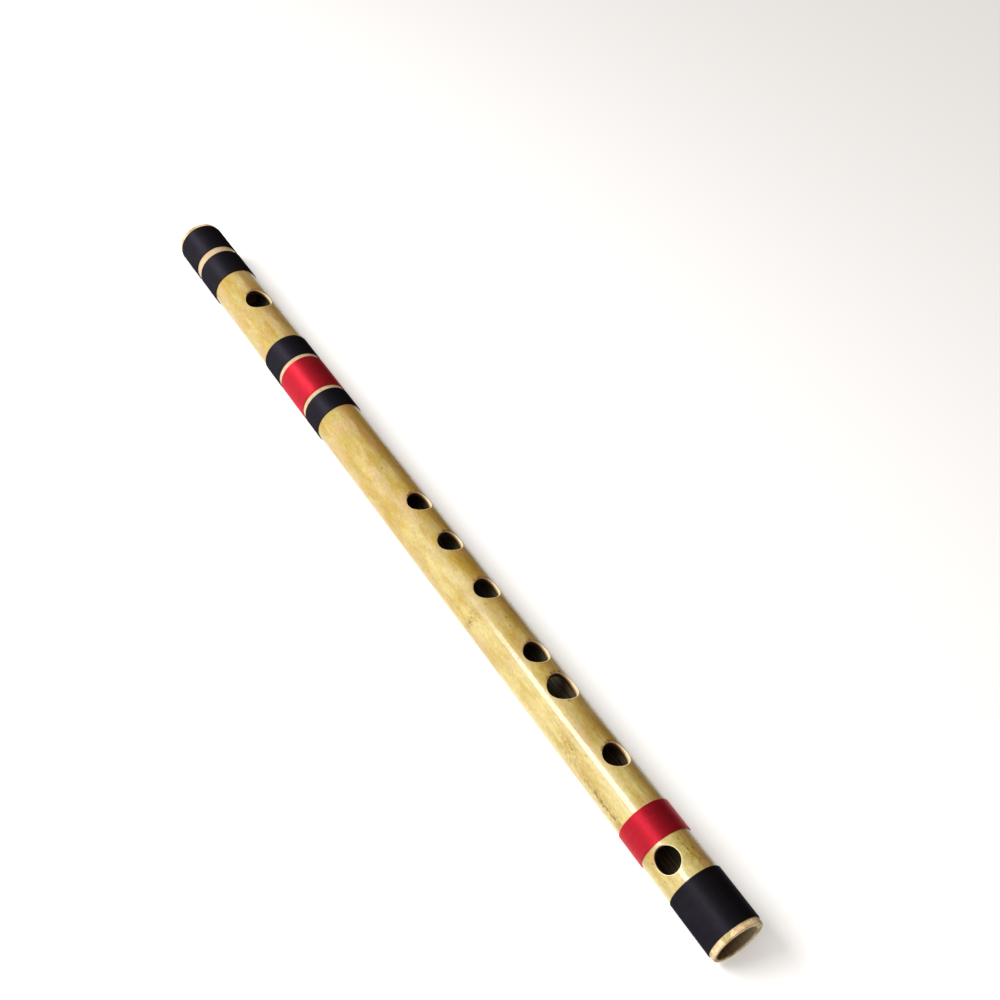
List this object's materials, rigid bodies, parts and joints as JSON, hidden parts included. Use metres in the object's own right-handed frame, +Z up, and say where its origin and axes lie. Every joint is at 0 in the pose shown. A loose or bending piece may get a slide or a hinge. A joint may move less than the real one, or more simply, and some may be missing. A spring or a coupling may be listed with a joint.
{
  "type": "bansuri",
  "caption": "Side-blown bamboo flute: open tube with blow hole, row of finger holes and a turned vent hole, wound thread bindings, and a sliding cork stopper in the bore.",
  "frame": {"origin": "on the surface that the flute lies on, below the middle of its length and of its width", "axes": "+X along the tube from the head end to the foot end, +Z up through the finger holes, -Y towards the turned vent hole"},
  "size_m": [0.4696, 0.024, 0.024],
  "materials": {
    "bamboo": "varnished bamboo, golden straw",
    "cork": "raw cork",
    "black_thread": "satin black thread, wound close",
    "red_thread": "satin crimson thread, wound close"
  },
  "bodies": {
    "flute": {"bamboo_tube": "bamboo", "black_binding_head_end": "black_thread", "black_binding_head": "black_thread", "black_binding_upper": "black_thread", "red_binding_upper": "red_thread", "black_binding_lower": "black_thread", "red_binding_foot": "red_thread", "black_binding_foot_end": "black_thread"},
    "stopper": {"cork_stopper": "cork"}
  },
  "joints": [
    {"name": "stopper_slide", "type": "slide", "parent": "flute", "child": "stopper", "axis": [1, 0, 0], "range_m": [-0.008, 0.006]}
  ]
}
